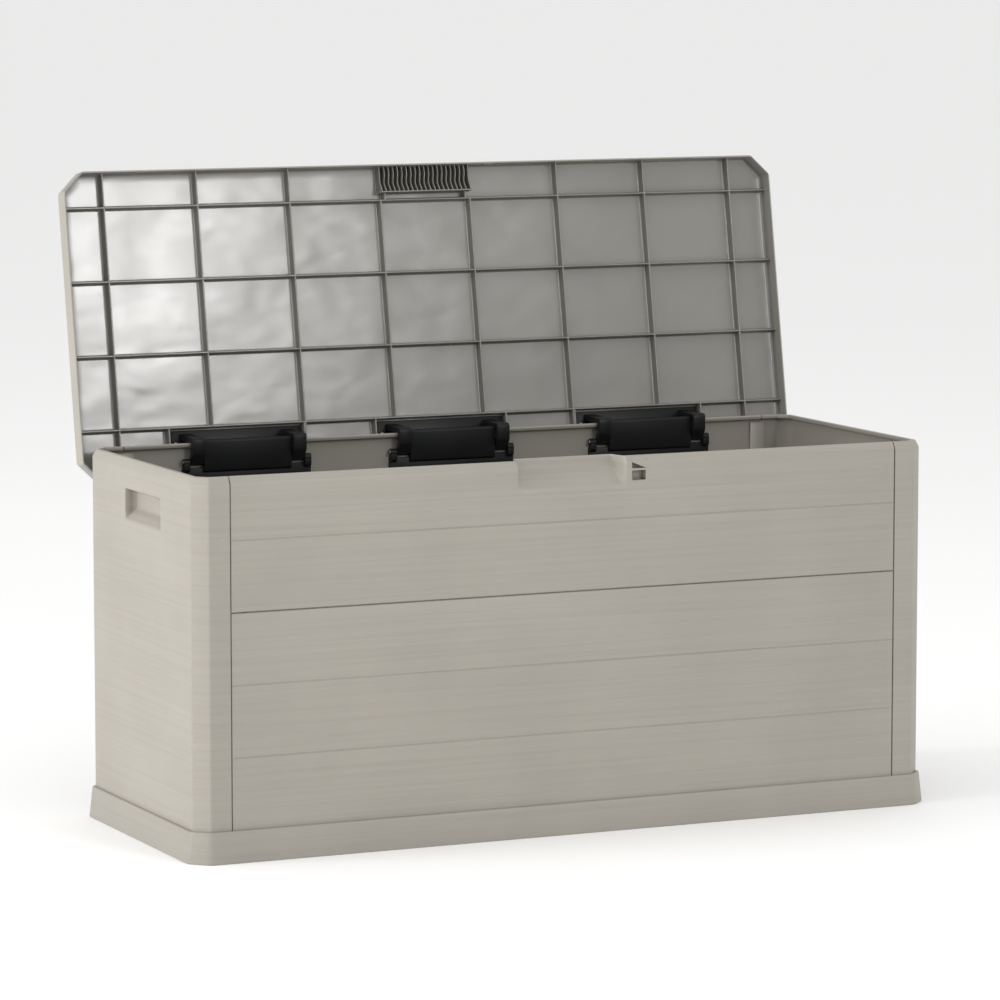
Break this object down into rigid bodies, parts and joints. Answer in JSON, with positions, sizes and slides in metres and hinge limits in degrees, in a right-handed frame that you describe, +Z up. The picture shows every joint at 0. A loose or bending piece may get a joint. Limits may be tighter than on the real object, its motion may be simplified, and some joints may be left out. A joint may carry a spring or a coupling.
{
  "type": "deck storage box",
  "caption": "Long moulded outdoor storage box with a ribbed hinged lid, plank-look walls, side handle pockets and a padlock eye.",
  "frame": {"origin": "middle of the underside, on the ground", "axes": "+X along the length towards the end nearest the padlock eye, +Y from the front to the hinged back, +Z up"},
  "size_m": [1.17, 0.5501, 0.9356],
  "materials": {
    "greige_plastic": "fine wood-grain texture outside, semi-gloss inside",
    "black_plastic": "semi-gloss",
    "zinc_steel": "zinc plated"
  },
  "bodies": {
    "box": {"base_tray": "greige_plastic", "left_side_panel": "greige_plastic", "right_side_panel": "greige_plastic", "front_lower_panel": "greige_plastic", "front_upper_panel": "greige_plastic", "rear_lower_panel": "greige_plastic", "rear_upper_panel": "greige_plastic", "left_hinge_wall_leaf": "black_plastic", "left_hinge_pins": "zinc_steel", "left_hinge_wall_screws": "zinc_steel", "centre_hinge_wall_leaf": "black_plastic", "centre_hinge_pins": "zinc_steel", "centre_hinge_wall_screws": "zinc_steel", "right_hinge_wall_leaf": "black_plastic", "right_hinge_pins": "zinc_steel", "right_hinge_wall_screws": "zinc_steel"},
    "lid": {"lid": "greige_plastic", "left_hinge_lid_leaf": "black_plastic", "left_hinge_lid_screws": "zinc_steel", "centre_hinge_lid_leaf": "black_plastic", "centre_hinge_lid_screws": "zinc_steel", "right_hinge_lid_leaf": "black_plastic", "right_hinge_lid_screws": "zinc_steel"}
  },
  "joints": [
    {"name": "lid_hinge", "type": "hinge", "parent": "box", "child": "lid", "pos_m": [0, 0.205, 0.512], "axis": [1, 0, 0], "range_deg": [0, 100]}
  ]
}
